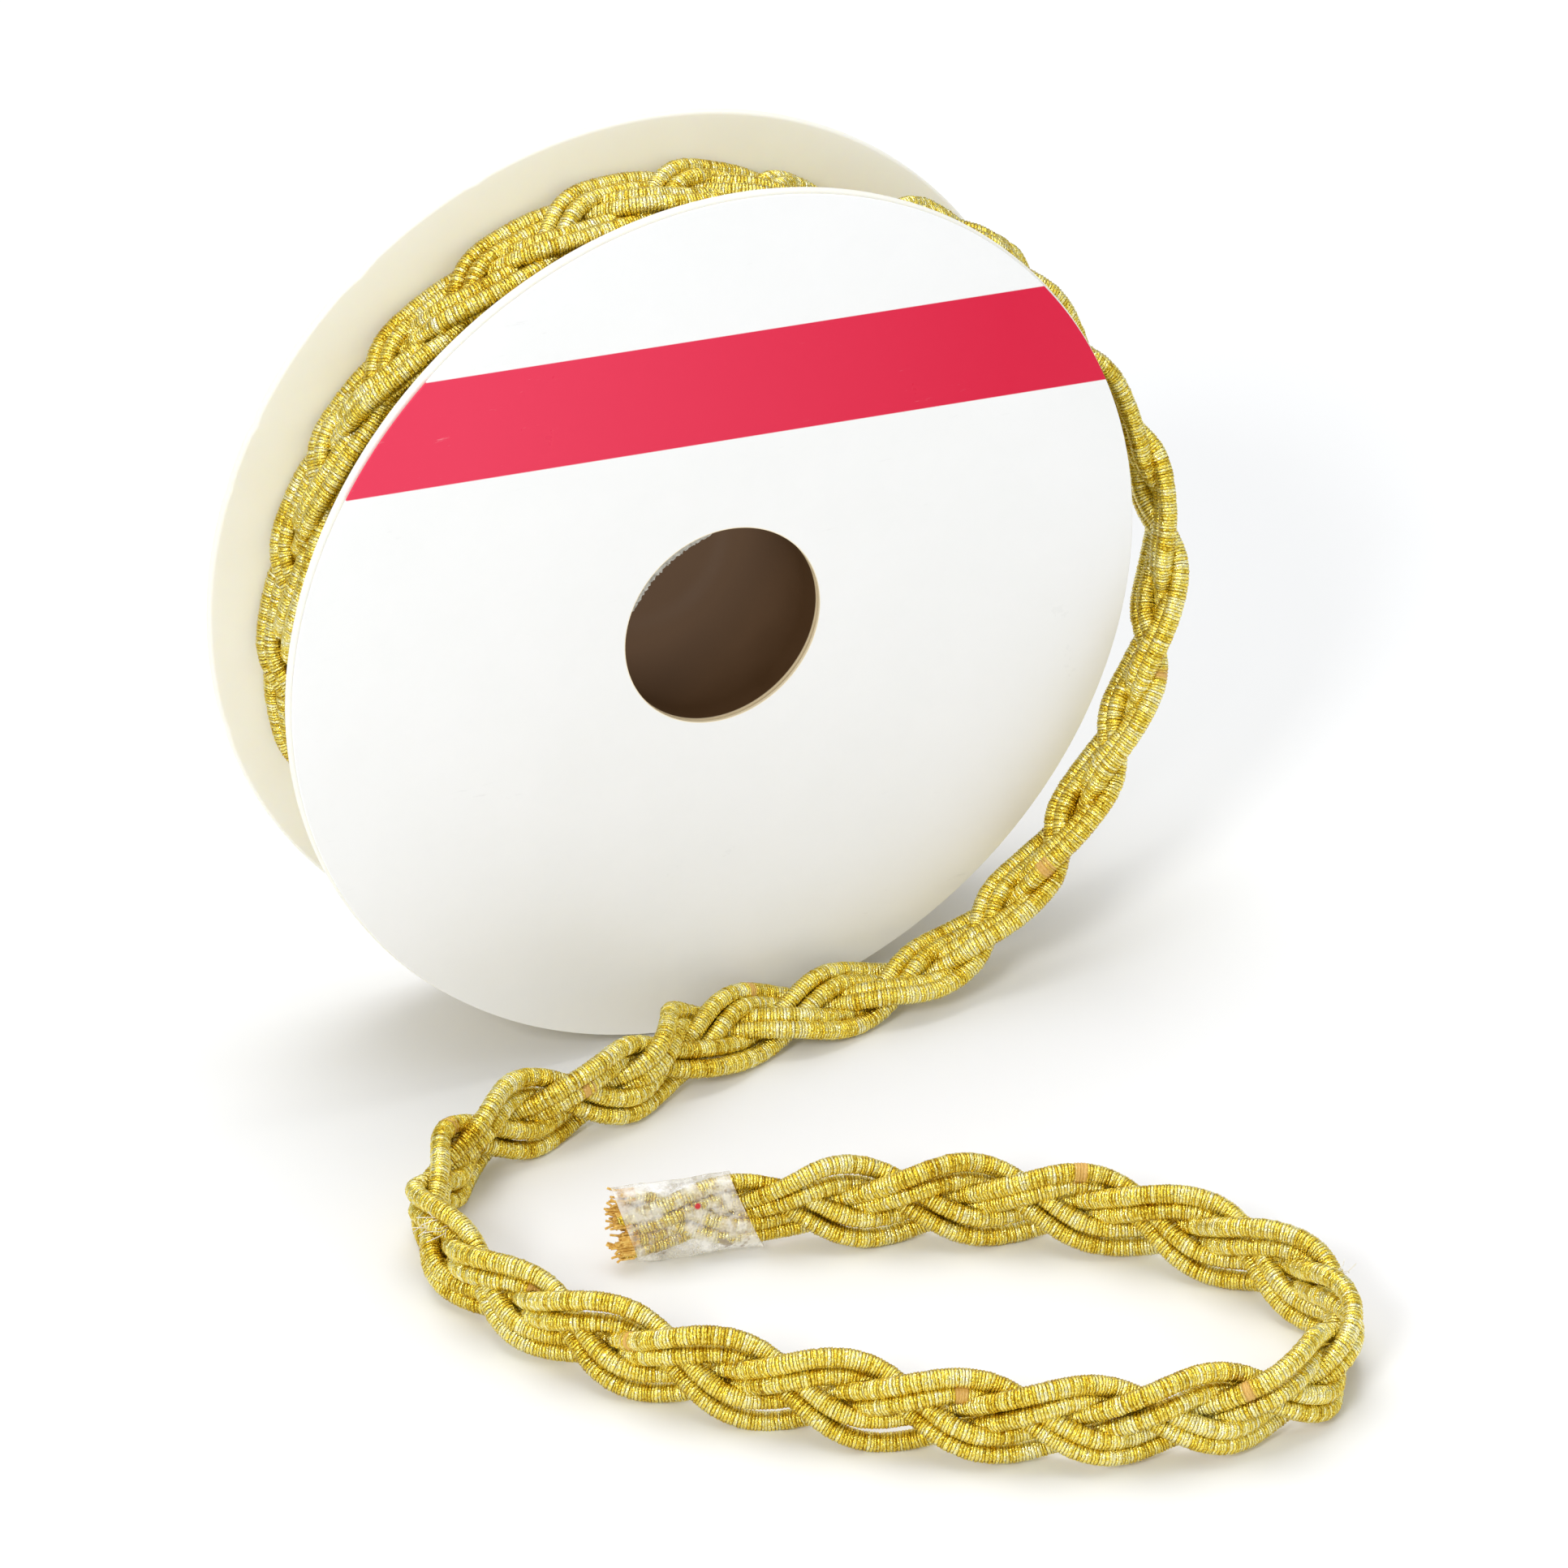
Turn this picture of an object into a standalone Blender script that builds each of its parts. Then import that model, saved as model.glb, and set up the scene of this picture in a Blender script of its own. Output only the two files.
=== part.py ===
"""Braid trim on a flanged reel: a flat three-strand plait, wound in two lanes between two
round flanges. The outer turn leaves the reel at the top right, drops past the rim and lies
curled on the surface in front, standing on its edge, with its cut end bound in clear tape.

Metres, +Z up. The origin is on the surface, under the middle of the reel. The reel's axle
runs along Y and its labelled face looks along -Y."""

from math import cos, degrees, pi, radians, sin, sqrt

import bmesh
import bpy
from mathutils import Matrix, Vector

MM = 0.001

# Reel. Sizes in millimetres.
REEL_RADIUS = 51.0
REEL_WIDTH = 23.6
FOOT_CHORD = 10.0
FLANGE_THICKNESS = 1.2
RIM_ROUND = 0.35
BORE_RADIUS = 11.75
HUB_RADIUS = 13.6
HUB_END_WALL = 1.2
LABEL_RADIUS = 50.4
LABEL_THICKNESS = 0.3
CLEARANCE = 0.3
AROUND = 72

# Plait. Six cords in three pairs.
CORD_RADIUS = 1.05
PAIR_OFFSET = 1.02
SWING = 3.03
RISE = 1.2
PERIOD = 38.0
WEB = 0.35

# Wound turns.
LANE_SHARE = 0.93
WOUND_RADIUS = 43.3
UNDER_RADIUS = 39.5
SCALLOPS_ROUND = 22
STATIONS_PER_SCALLOP = 7
LIFT_ANGLE = 13.0
COVER_ANGLE = -160.0
UNEVEN = 0.3

# Loose end.
LOOSE_STATIONS_PER_PERIOD = 23
TAPE_LENGTH = 13.5
TAPE_THICKNESS = 0.3
TAPED_SHARE = 0.80
CUT_SLANT = 2.4

AXLE_HEIGHT = sqrt(REEL_RADIUS**2 - (FOOT_CHORD / 2) ** 2)
FRONT = -REEL_WIDTH / 2
BACK = REEL_WIDTH / 2
FLANGE_FRONT_FACE = FRONT + LABEL_THICKNESS + CLEARANCE
FRONT_WALL = FLANGE_FRONT_FACE + FLANGE_THICKNESS
BACK_WALL = BACK - FLANGE_THICKNESS

# Centre of the loose end and the way its width points, from the reel to the cut end. The
# width starts level across the reel and ends upright on the surface.
ROUTE = (
    (12.0, -4.75, 93.70, 0.00, 1.00, 0.00),
    (17.5, -4.75, 92.9, 0.00, 1.00, 0.00),
    (24.0, -4.7, 91.4, 0.00, 1.00, 0.00),
    (31.6, -4.6, 88.2, 0.00, 1.00, 0.00),
    (38.1, -4.5, 83.2, 0.00, 1.00, 0.00),
    (43.3, -4.4, 76.5, 0.00, 1.00, 0.00),
    (47.5, -4.4, 69.9, 0.00, 1.00, 0.00),
    (51.2, -4.6, 64.5, 0.00, 1.00, 0.00),
    (54.2, -6.1, 58.4, 0.03, 1.00, 0.00),
    (55.8, -8.5, 50.8, 0.07, 1.00, 0.00),
    (55.2, -10.9, 44.0, 0.10, 0.99, -0.01),
    (53.3, -12.7, 37.5, 0.12, 0.99, -0.03),
    (50.2, -14.2, 30.5, 0.11, 0.99, -0.05),
    (46.4, -15.1, 24.0, 0.11, 0.99, -0.06),
    (42.0, -15.9, 17.9, 0.08, 0.99, -0.06),
    (36.9, -16.6, 12.4, 0.05, 1.00, -0.05),
    (30.2, -17.4, 7.6, 0.00, 1.00, 0.00),
    (22.6, -18.1, 4.1, 0.00, 0.99, 0.12),
    (14.0, -18.3, 3.2, 0.00, 0.97, 0.24),
    (4.9, -18.5, 3.4, -0.02, 0.92, 0.39),
    (-3.3, -19.2, 3.9, -0.05, 0.84, 0.54),
    (-8.4, -20.9, 4.6, -0.06, 0.62, 0.78),
    (-12.4, -23.1, 5.15, -0.03, 0.26, 0.96),
    (-16.6, -25.2, 5.35, 0.02, -0.06, 1.00),
    (-21.9, -26.3, 5.35, 0.02, -0.14, 0.99),
    (-28.0, -26.6, 5.35, 0.01, -0.05, 1.00),
    (-34.5, -27.7, 5.35, 0.01, -0.03, 1.00),
    (-40.6, -30.6, 5.35, 0.04, -0.06, 1.00),
    (-45.4, -34.7, 5.35, 0.03, -0.02, 1.00),
    (-48.7, -39.7, 5.35, 0.00, 0.00, 1.00),
    (-49.8, -45.3, 5.35, 0.00, 0.00, 1.00),
    (-49.4, -51.0, 5.35, -0.03, -0.01, 1.00),
    (-48.0, -57.1, 5.35, -0.07, -0.02, 1.00),
    (-45.5, -63.2, 5.35, -0.03, -0.01, 1.00),
    (-41.9, -69.9, 5.35, 0.00, 0.00, 1.00),
    (-37.2, -76.6, 5.35, 0.00, 0.00, 1.00),
    (-31.3, -83.2, 5.35, 0.00, 0.00, 1.00),
    (-24.9, -89.2, 5.35, 0.02, 0.03, 1.00),
    (-18.9, -94.5, 5.35, 0.03, 0.04, 1.00),
    (-13.0, -99.2, 5.35, 0.04, 0.06, 1.00),
    (-6.7, -103.2, 5.35, 0.03, 0.06, 1.00),
    (0.0, -106.3, 5.35, 0.02, 0.07, 1.00),
    (7.0, -108.4, 5.35, 0.01, 0.05, 1.00),
    (13.5, -109.4, 5.35, 0.00, 0.00, 1.00),
    (19.2, -108.9, 5.35, 0.00, 0.00, 1.00),
    (24.0, -106.3, 5.35, 0.00, 0.00, 1.00),
    (27.4, -102.3, 5.35, 0.00, 0.00, 1.00),
    (28.8, -97.8, 5.35, 0.00, 0.00, 1.00),
    (28.6, -93.0, 5.35, 0.00, 0.00, 1.00),
    (27.2, -88.0, 5.35, 0.00, 0.00, 1.00),
    (24.8, -83.0, 5.35, 0.00, 0.00, 1.00),
    (21.6, -77.9, 5.35, 0.00, 0.00, 1.00),
    (17.6, -73.0, 5.35, 0.00, 0.00, 1.00),
    (12.9, -68.6, 5.35, 0.00, 0.00, 1.00),
    (7.4, -65.0, 5.35, 0.00, 0.00, 1.00),
    (1.1, -61.8, 5.35, 0.00, 0.00, 1.00),
    (-5.6, -58.7, 5.35, 0.00, 0.00, 1.00),
    (-12.5, -55.8, 5.30, 0.00, 0.00, 1.00),
    (-19.8, -53.4, 5.10, 0.00, 0.00, 1.00),
    (-25.8, -51.9, 4.95, 0.00, 0.00, 1.00),
    (-31.0, -50.7, 4.95, 0.00, 0.00, 1.00),
)

# Base colour, roughness and metallic value of each node.
MATERIALS = {
    "flange_back": ((0.86, 0.82, 0.69), 0.42, 0.0),
    "flange_front": ((0.86, 0.82, 0.69), 0.42, 0.0),
    "label_front": ((0.91, 0.91, 0.89), 0.28, 0.0),
    "hub": ((0.085, 0.042, 0.016), 0.45, 0.0),
    "wound_braid": ((0.50, 0.37, 0.06), 0.36, 0.75),
    "loose_end": ((0.50, 0.37, 0.06), 0.36, 0.75),
    "tape_wrap": ((0.80, 0.78, 0.70), 0.25, 0.0),
}


def clear_scene():
    for obj in list(bpy.data.objects):
        bpy.data.objects.remove(obj, do_unlink=True)


def finish(name, bm, smooth_angle=40.0):
    """Closes up the normals and puts the mesh in the scene under its node's name."""
    bmesh.ops.recalc_face_normals(bm, faces=bm.faces)
    mesh = bpy.data.meshes.new(name)
    bm.to_mesh(mesh)
    bm.free()
    colour, roughness, metallic = MATERIALS[name]
    material = bpy.data.materials.new(name)
    material.use_nodes = True
    shader = material.node_tree.nodes["Principled BSDF"]
    shader.inputs["Base Color"].default_value = (*colour, 1.0)
    shader.inputs["Roughness"].default_value = roughness
    shader.inputs["Metallic"].default_value = metallic
    mesh.materials.append(material)
    mesh.shade_smooth()
    mesh.set_sharp_from_angle(angle=radians(smooth_angle))
    obj = bpy.data.objects.new(name, mesh)
    bpy.context.scene.collection.objects.link(obj)
    return obj


def spin_about_axle(bm, profile, closed):
    """Spins (radius, y) points about the reel's axle."""
    centre = Vector((0.0, 0.0, AXLE_HEIGHT * MM))
    verts = [bm.verts.new((0.0, y * MM, centre.z - r * MM)) for r, y in profile]
    edges = [bm.edges.new(pair) for pair in zip(verts, verts[1:])]
    if closed:
        edges.append(bm.edges.new((verts[-1], verts[0])))
    bmesh.ops.spin(
        bm,
        geom=verts + edges,
        cent=centre,
        axis=(0.0, 1.0, 0.0),
        angle=2 * pi,
        steps=AROUND,
        use_merge=True,
    )
    bmesh.ops.remove_doubles(bm, verts=bm.verts, dist=1e-6)


def cut_foot(bm):
    """Cuts the small flat that the reel stands on."""
    cut = bmesh.ops.bisect_plane(
        bm,
        geom=bm.verts[:] + bm.edges[:] + bm.faces[:],
        dist=1e-7,
        plane_co=(0.0, 0.0, 0.0),
        plane_no=(0.0, 0.0, -1.0),
        clear_outer=True,
    )
    rim = [e for e in cut["geom_cut"] if isinstance(e, bmesh.types.BMEdge)]
    bmesh.ops.holes_fill(bm, edges=rim, sides=0)


def rim_profile(outer, inner, low, high, round_by):
    """Outline of a disc from its inner radius out, with both edges of the rim eased."""
    return [
        (inner, low),
        (outer - round_by, low),
        (outer, low + round_by),
        (outer, high - round_by),
        (outer - round_by, high),
        (inner, high),
    ]


def build_flange_front():
    bm = bmesh.new()
    low, high = FLANGE_FRONT_FACE, FRONT_WALL
    inner = HUB_RADIUS + CLEARANCE
    spin_about_axle(bm, rim_profile(REEL_RADIUS, inner, low, high, RIM_ROUND), True)
    cut_foot(bm)
    return finish("flange_front", bm)


def build_flange_back():
    bm = bmesh.new()
    profile = rim_profile(REEL_RADIUS, 0.0, BACK_WALL, BACK, RIM_ROUND)
    spin_about_axle(bm, profile, False)
    cut_foot(bm)
    return finish("flange_back", bm)


def build_label():
    bm = bmesh.new()
    low, high = FRONT, FRONT + LABEL_THICKNESS
    profile = [(BORE_RADIUS, low), (LABEL_RADIUS, low), (LABEL_RADIUS, high), (BORE_RADIUS, high)]
    spin_about_axle(bm, profile, True)
    return finish("label_front", bm)


def build_hub():
    """A tube through the front flange, closed at its far end."""
    bm = bmesh.new()
    end = BACK_WALL - CLEARANCE
    profile = [
        (0.0, end - HUB_END_WALL),
        (BORE_RADIUS, end - HUB_END_WALL),
        (BORE_RADIUS, FLANGE_FRONT_FACE),
        (HUB_RADIUS, FLANGE_FRONT_FACE),
        (HUB_RADIUS, end),
        (0.0, end),
    ]
    spin_about_axle(bm, profile, False)
    return finish("hub", bm)


def cords_at(turn):
    """(across, out, half width across) of the six cords where the plait's phase is turn."""
    found = []
    for k in range(3):
        phase = turn + 2 * pi * k / 3
        across = SWING * sin(phase)
        out = RISE * sin(2 * phase)
        slope = SWING * 2 * pi / PERIOD * cos(phase)
        lean = 1.0 / sqrt(1.0 + slope * slope)
        for side in (-1, 1):
            found.append((across + side * PAIR_OFFSET * lean, out, CORD_RADIUS / lean))
    return found


def skin_at(cords, across, side):
    """Outermost height of the plait at one place across it, on one face."""
    best = WEB
    for centre, out, half in cords:
        x = (across - centre) / half
        if abs(x) < 1.0:
            best = max(best, side * out + CORD_RADIUS * sqrt(1.0 - x * x))
    return side * best


def plait_outline(turn, spread):
    """Closed outline of the plait's cross-section as (across, out) points."""
    cords = cords_at(turn)
    low = min(c - CORD_RADIUS for c, _, _ in cords)
    high = max(c + CORD_RADIUS for c, _, _ in cords)
    low_out = min(cords)[1]
    high_out = max(cords)[1]
    places = [low + (high - low) * t for t in spread]
    top = [(x, skin_at(cords, x, 1)) for x in places]
    bottom = [(x, skin_at(cords, x, -1)) for x in places]
    return [(low, 0.6 * low_out)] + top + [(high, 0.6 * high_out)] + bottom[::-1]


def bridge_rings(bm, rings, closed):
    """Joins rings of equal length with quads, split the same way all along."""
    pairs = list(zip(rings, rings[1:]))
    if closed:
        pairs.append((rings[-1], rings[0]))
    for here, there in pairs:
        for i in range(len(here)):
            j = (i + 1) % len(here)
            bm.faces.new((here[i], here[j], there[j]))
            bm.faces.new((here[i], there[j], there[i]))


def smooth_step(x, start, end):
    t = min(1.0, max(0.0, (x - start) / (end - start)))
    return t * t * (3.0 - 2.0 * t)


def front_lane_radius(angle):
    """Radius of the front lane: a turn lower from where the loose end lifts away."""
    if COVER_ANGLE <= angle <= LIFT_ANGLE:
        return UNDER_RADIUS + (WOUND_RADIUS - UNDER_RADIUS) * smooth_step(
            angle, COVER_ANGLE, COVER_ANGLE + 40.0
        )
    return UNDER_RADIUS


def build_wound_braid():
    bm = bmesh.new()
    stations = SCALLOPS_ROUND * STATIONS_PER_SCALLOP
    low, high = FRONT_WALL + CLEARANCE, BACK_WALL - CLEARANCE
    middle = (low + high) / 2
    inner = HUB_RADIUS + CLEARANCE
    half = (high - low) / 4
    reach = SWING + PAIR_OFFSET + CORD_RADIUS
    rings = []
    for i in range(stations):
        angle = -180.0 + 360.0 * (i + 0.5) / stations
        turn = radians(angle) * SCALLOPS_ROUND / 3
        a = radians(angle)
        wave = UNEVEN * (sin(3 * a + 0.7) + 0.6 * sin(7 * a + 2.1))
        loop = [(low, inner), (high, inner)]
        lanes = (
            ((middle + high) / 2, WOUND_RADIUS + wave, turn + 1.9, -1),
            ((low + middle) / 2, front_lane_radius(angle) + 0.7 * wave, turn, -1),
        )
        for number, (centre, radius, phase, _) in enumerate(lanes):
            cords = cords_at(phase)
            if number == 0:
                loop.append((high, radius - 0.6))
            for t in (0.80, 0.48, 0.16, -0.16, -0.48, -0.80):
                across = t * reach
                loop.append((centre + t * half, radius + skin_at(cords, across, 1)))
            if number == 0:
                valley = min(radius, front_lane_radius(angle)) - 0.5
                loop.append((middle, valley))
            else:
                loop.append((low, radius - 0.6))
        ring = []
        for y, r in loop:
            ring.append(
                bm.verts.new((r * sin(a) * MM, y * MM, (AXLE_HEIGHT + r * cos(a)) * MM))
            )
        rings.append(ring)
    bridge_rings(bm, rings, True)
    return finish("wound_braid", bm, 75.0)


def along_route():
    """Even stations along the smooth curve through ROUTE: (length, centre, width, out)."""
    points = [Vector(row[:3]) for row in ROUTE]
    widths = [Vector(row[3:]) for row in ROUTE]

    def blend(values, i, t):
        a = values[max(i - 1, 0)]
        b = values[i]
        c = values[i + 1]
        d = values[min(i + 2, len(values) - 1)]
        return 0.5 * (
            2 * b
            + (c - a) * t
            + (2 * a - 5 * b + 4 * c - d) * t**2
            + (3 * b - a - 3 * c + d) * t**3
        )

    fine = 24
    dense = []
    for i in range(len(points) - 1):
        for k in range(fine):
            dense.append((blend(points, i, k / fine), blend(widths, i, k / fine)))
    dense.append((points[-1], widths[-1]))
    lengths = [0.0]
    for (p, _), (q, _) in zip(dense, dense[1:]):
        lengths.append(lengths[-1] + (q - p).length)
    total = lengths[-1]
    count = int(round(total / PERIOD * LOOSE_STATIONS_PER_PERIOD))
    stations = []
    j = 0
    for n in range(count + 1):
        s = total * n / count
        while j < len(lengths) - 2 and lengths[j + 1] < s:
            j += 1
        t = (s - lengths[j]) / (lengths[j + 1] - lengths[j])
        (p, u), (q, v) = dense[j], dense[j + 1]
        tangent = (q - p).normalized()
        width = u.lerp(v, t)
        width = (width - tangent * width.dot(tangent)).normalized()
        stations.append((s, p.lerp(q, t), width, tangent.cross(width), tangent))
    return total, stations


def width_share(s, total):
    """How much of its full width the plait has: less between the flanges and in the tape."""
    share = LANE_SHARE + (1.0 - LANE_SHARE) * smooth_step(s, 45.0, 75.0)
    taped = smooth_step(s, total - TAPE_LENGTH - 9.0, total - TAPE_LENGTH - 1.0)
    return share + (TAPED_SHARE - share) * taped


def build_loose_end():
    bm = bmesh.new()
    total, stations = along_route()
    spread = (0.10, 0.28, 0.44, 0.60, 0.76, 0.92)
    rings = []
    for s, centre, width, out, tangent in stations:
        share = width_share(s, total)
        flat = 1.0 - 0.25 * smooth_step(s, total - TAPE_LENGTH - 6.0, total - TAPE_LENGTH)
        slant = CUT_SLANT * smooth_step(s, total - 8.0, total)
        ring = []
        for across, lift in plait_outline(2 * pi * s / PERIOD, spread):
            point = centre + width * (across * share) + out * (lift * flat)
            point += tangent * (slant * across / SWING * 0.5)
            ring.append(bm.verts.new(point * MM))
        rings.append(ring)
    bridge_rings(bm, rings, False)
    bm.faces.new(rings[0])
    bm.faces.new(rings[-1])
    bmesh.ops.triangulate(bm, faces=[f for f in bm.faces if len(f.verts) > 4])
    return finish("loose_end", bm, 75.0)


def build_tape_wrap():
    """A thin sleeve of tape round the cut end, open at both ends."""
    bm = bmesh.new()
    total, stations = along_route()
    reach = (SWING + PAIR_OFFSET + CORD_RADIUS) * TAPED_SHARE + CLEARANCE
    depth = (RISE + CORD_RADIUS) * 0.75 + CLEARANCE
    corners = 20
    walls = []
    for grow in (0.0, TAPE_THICKNESS):
        rings = []
        for s, centre, width, out, tangent in stations:
            if s < total - TAPE_LENGTH:
                continue
            slant = 0.5 * CUT_SLANT * smooth_step(s, total - 8.0, total)
            ring = []
            for k in range(corners):
                a = 2 * pi * k / corners
                x = abs(cos(a)) ** 0.55 * (1 if cos(a) > 0 else -1) * (reach + grow)
                y = abs(sin(a)) ** 0.75 * (1 if sin(a) > 0 else -1) * (depth + grow)
                point = centre + width * x + out * y + tangent * (slant * x / SWING)
                ring.append(bm.verts.new(point * MM))
            rings.append(ring)
        bridge_rings(bm, rings, False)
        walls.append(rings)
    bridge_rings(bm, [walls[0][0], walls[1][0]], False)
    bridge_rings(bm, [walls[0][-1], walls[1][-1]], False)
    return finish("tape_wrap", bm, 60.0)


def main():
    clear_scene()
    build_flange_back()
    build_flange_front()
    build_label()
    build_hub()
    build_wound_braid()
    build_loose_end()
    build_tape_wrap()
    total, _ = along_route()
    print(f"loose end {total:.1f} mm long, axle {AXLE_HEIGHT:.2f} mm up")


main()
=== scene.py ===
# %% [markdown]
# # Braid trim on a reel
#
# A flat gold braid, plaited from six cords, is wound in two lanes on an upright reel. Its outer
# turn lifts off at the top right, drops past the rim and lies curled in front, on its edge.
# Every length below is in millimetres unless a name says otherwise.

from math import cos, pi, radians, sin, sqrt

import bmesh
import bpy
import numpy as np
from mathutils import Matrix, Vector


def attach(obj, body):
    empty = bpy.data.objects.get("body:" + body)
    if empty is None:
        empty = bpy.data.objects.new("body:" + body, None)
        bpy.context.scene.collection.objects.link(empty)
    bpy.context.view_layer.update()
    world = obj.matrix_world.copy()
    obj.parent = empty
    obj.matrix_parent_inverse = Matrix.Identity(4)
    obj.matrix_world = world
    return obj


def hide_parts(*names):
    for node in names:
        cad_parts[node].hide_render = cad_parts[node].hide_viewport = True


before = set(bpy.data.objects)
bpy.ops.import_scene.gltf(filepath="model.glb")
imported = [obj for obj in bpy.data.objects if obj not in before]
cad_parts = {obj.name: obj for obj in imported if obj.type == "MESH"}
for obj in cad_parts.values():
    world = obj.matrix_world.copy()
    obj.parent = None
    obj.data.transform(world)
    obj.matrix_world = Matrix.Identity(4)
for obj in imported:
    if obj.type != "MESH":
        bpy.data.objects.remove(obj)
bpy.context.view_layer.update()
rng = np.random.default_rng(11)
print("CAD nodes:", ", ".join(sorted(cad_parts)))

# %% [markdown]
# ## Sizes
# The reel is 102 mm across. The other sizes repeat those of the solid model, so that each
# visible piece lies on the solid that it stands for.

# %% Sizes
MM = 0.001
REEL_RADIUS = 51.0
HALF_FOOT = 5.0
AXLE = sqrt(REEL_RADIUS**2 - HALF_FOOT**2)
BORE_RADIUS = 11.75
HUB_RADIUS = 13.6
FLANGE_HOLE = 13.9
LABEL_RADIUS = 50.75

# Depths along the axle, front to back
LABEL_FACE, LABEL_BACK = -11.8, -11.5
FRONT_FLANGE = (-11.2, -10.0)
HUB_FRONT, HUB_WALL, HUB_BACK = -11.2, 9.1, 10.3
BACK_FLANGE = (10.6, 11.8)
WOUND_FRONT, WOUND_BACK = -9.7, 10.3
RIM_EASE = 0.4
LABEL_EASE = 0.08

# The plait: cord size, how far cords swing and rise, and the length of one full swing
CORD_RADIUS = 1.05
PAIR_OFFSET = 1.02
SWING = 3.03
RISE = 1.2
PERIOD = 38.0
WRAP_PITCH = 0.34
TIGHT_SHARE = 0.93

# Radii of the wound turns' middles, and angles from the top, clockwise, in degrees
WOUND_RADIUS = 43.3
UNDER_RADIUS = 39.5
LIFT_ANGLE = 13.0
COVER_ANGLE = -160.0
PHASE_PER_RADIAN = 22 / 3
TAPE_LENGTH = 13.5

# Route of the loose end: x, y, z of its middle, then the direction of its width

ROUTE = (
    (12.0, -4.75, 93.70, 0.00, 1.00, 0.00),
    (17.5, -4.75, 92.9, 0.00, 1.00, 0.00),
    (24.0, -4.7, 91.4, 0.00, 1.00, 0.00),
    (31.6, -4.6, 88.2, 0.00, 1.00, 0.00),
    (38.1, -4.5, 83.2, 0.00, 1.00, 0.00),
    (43.3, -4.4, 76.5, 0.00, 1.00, 0.00),
    (47.5, -4.4, 69.9, 0.00, 1.00, 0.00),
    (51.2, -4.6, 64.5, 0.00, 1.00, 0.00),
    (54.2, -6.1, 58.4, 0.03, 1.00, 0.00),
    (55.8, -8.5, 50.8, 0.07, 1.00, 0.00),
    (55.2, -10.9, 44.0, 0.10, 0.99, -0.01),
    (53.3, -12.7, 37.5, 0.12, 0.99, -0.03),
    (50.2, -14.2, 30.5, 0.11, 0.99, -0.05),
    (46.4, -15.1, 24.0, 0.11, 0.99, -0.06),
    (42.0, -15.9, 17.9, 0.08, 0.99, -0.06),
    (36.9, -16.6, 12.4, 0.05, 1.00, -0.05),
    (30.2, -17.4, 7.6, 0.00, 1.00, 0.00),
    (22.6, -18.1, 4.1, 0.00, 0.99, 0.12),
    (14.0, -18.3, 3.2, 0.00, 0.97, 0.24),
    (4.9, -18.5, 3.4, -0.02, 0.92, 0.39),
    (-3.3, -19.2, 3.9, -0.05, 0.84, 0.54),
    (-8.4, -20.9, 4.6, -0.06, 0.62, 0.78),
    (-12.4, -23.1, 5.15, -0.03, 0.26, 0.96),
    (-16.6, -25.2, 5.35, 0.02, -0.06, 1.00),
    (-21.9, -26.3, 5.35, 0.02, -0.14, 0.99),
    (-28.0, -26.6, 5.35, 0.01, -0.05, 1.00),
    (-34.5, -27.7, 5.35, 0.01, -0.03, 1.00),
    (-40.6, -30.6, 5.35, 0.04, -0.06, 1.00),
    (-45.4, -34.7, 5.35, 0.03, -0.02, 1.00),
    (-48.7, -39.7, 5.35, 0.00, 0.00, 1.00),
    (-49.8, -45.3, 5.35, 0.00, 0.00, 1.00),
    (-49.4, -51.0, 5.35, -0.03, -0.01, 1.00),
    (-48.0, -57.1, 5.35, -0.07, -0.02, 1.00),
    (-45.5, -63.2, 5.35, -0.03, -0.01, 1.00),
    (-41.9, -69.9, 5.35, 0.00, 0.00, 1.00),
    (-37.2, -76.6, 5.35, 0.00, 0.00, 1.00),
    (-31.3, -83.2, 5.35, 0.00, 0.00, 1.00),
    (-24.9, -89.2, 5.35, 0.02, 0.03, 1.00),
    (-18.9, -94.5, 5.35, 0.03, 0.04, 1.00),
    (-13.0, -99.2, 5.35, 0.04, 0.06, 1.00),
    (-6.7, -103.2, 5.35, 0.03, 0.06, 1.00),
    (0.0, -106.3, 5.35, 0.02, 0.07, 1.00),
    (7.0, -108.4, 5.35, 0.01, 0.05, 1.00),
    (13.5, -109.4, 5.35, 0.00, 0.00, 1.00),
    (19.2, -108.9, 5.35, 0.00, 0.00, 1.00),
    (24.0, -106.3, 5.35, 0.00, 0.00, 1.00),
    (27.4, -102.3, 5.35, 0.00, 0.00, 1.00),
    (28.8, -97.8, 5.35, 0.00, 0.00, 1.00),
    (28.6, -93.0, 5.35, 0.00, 0.00, 1.00),
    (27.2, -88.0, 5.35, 0.00, 0.00, 1.00),
    (24.8, -83.0, 5.35, 0.00, 0.00, 1.00),
    (21.6, -77.9, 5.35, 0.00, 0.00, 1.00),
    (17.6, -73.0, 5.35, 0.00, 0.00, 1.00),
    (12.9, -68.6, 5.35, 0.00, 0.00, 1.00),
    (7.4, -65.0, 5.35, 0.00, 0.00, 1.00),
    (1.1, -61.8, 5.35, 0.00, 0.00, 1.00),
    (-5.6, -58.7, 5.35, 0.00, 0.00, 1.00),
    (-12.5, -55.8, 5.30, 0.00, 0.00, 1.00),
    (-19.8, -53.4, 5.10, 0.00, 0.00, 1.00),
    (-25.8, -51.9, 4.95, 0.00, 0.00, 1.00),
    (-31.0, -50.7, 4.95, 0.00, 0.00, 1.00),
)
print(f"axle {AXLE:.2f} mm up, {len(ROUTE)} route points")

# %% [markdown]
# ## Camera
# A long lens, a little above and to the left of the reel, gives the photograph's view. The
# three directions are the camera's right, up and backward axes.

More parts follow.
